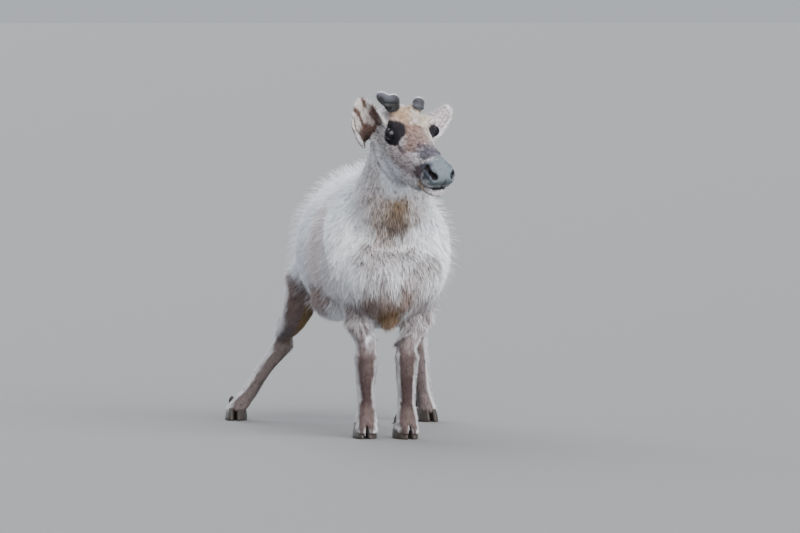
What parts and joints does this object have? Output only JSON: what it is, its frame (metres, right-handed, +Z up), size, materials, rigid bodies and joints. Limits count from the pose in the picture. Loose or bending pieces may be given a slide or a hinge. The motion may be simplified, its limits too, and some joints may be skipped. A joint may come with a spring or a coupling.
{
  "type": "reindeer",
  "caption": "Still life-size reindeer standing with its hind legs straddled and its head turned to its left, with short velvet antler buds, the right one just forking.",
  "frame": {"origin": "on the floor under the middle of the bounding box", "axes": "+Z up, +Y from the chest to the rump, +X to the animal's own left"},
  "size_m": [0.6438, 1.406, 1.0429],
  "materials": {
    "coat_pale": "dense pale winter fur in moult",
    "coat_leg": "short grey-brown fur",
    "eye_dark": "wet dark eye",
    "antler_velvet": "short grey-black velvet",
    "hoof_horn": "dark worn horn"
  },
  "bodies": {
    "root": {"head": "coat_pale", "neck": "coat_pale", "trunk": "coat_pale", "tail": "coat_pale", "ear_left": "coat_pale", "ear_right": "coat_pale", "foreleg_left_upper": "coat_leg", "foreleg_left_lower": "coat_leg", "foreleg_right_upper": "coat_leg", "foreleg_right_lower": "coat_leg", "hindleg_left_upper": "coat_leg", "hindleg_left_lower": "coat_leg", "hindleg_right_upper": "coat_leg", "hindleg_right_lower": "coat_leg", "eye_left": "eye_dark", "eye_right": "eye_dark", "antler_bud_left": "antler_velvet", "antler_bud_right": "antler_velvet", "hoof_fore_left": "hoof_horn", "hoof_fore_right": "hoof_horn", "hoof_hind_left": "hoof_horn", "hoof_hind_right": "hoof_horn", "dewclaw_fore_left_left": "hoof_horn", "dewclaw_fore_left_right": "hoof_horn", "dewclaw_fore_right_left": "hoof_horn", "dewclaw_fore_right_right": "hoof_horn", "dewclaw_hind_left_left": "hoof_horn", "dewclaw_hind_left_right": "hoof_horn", "dewclaw_hind_right_left": "hoof_horn", "dewclaw_hind_right_right": "hoof_horn"}
  },
  "joints": []
}
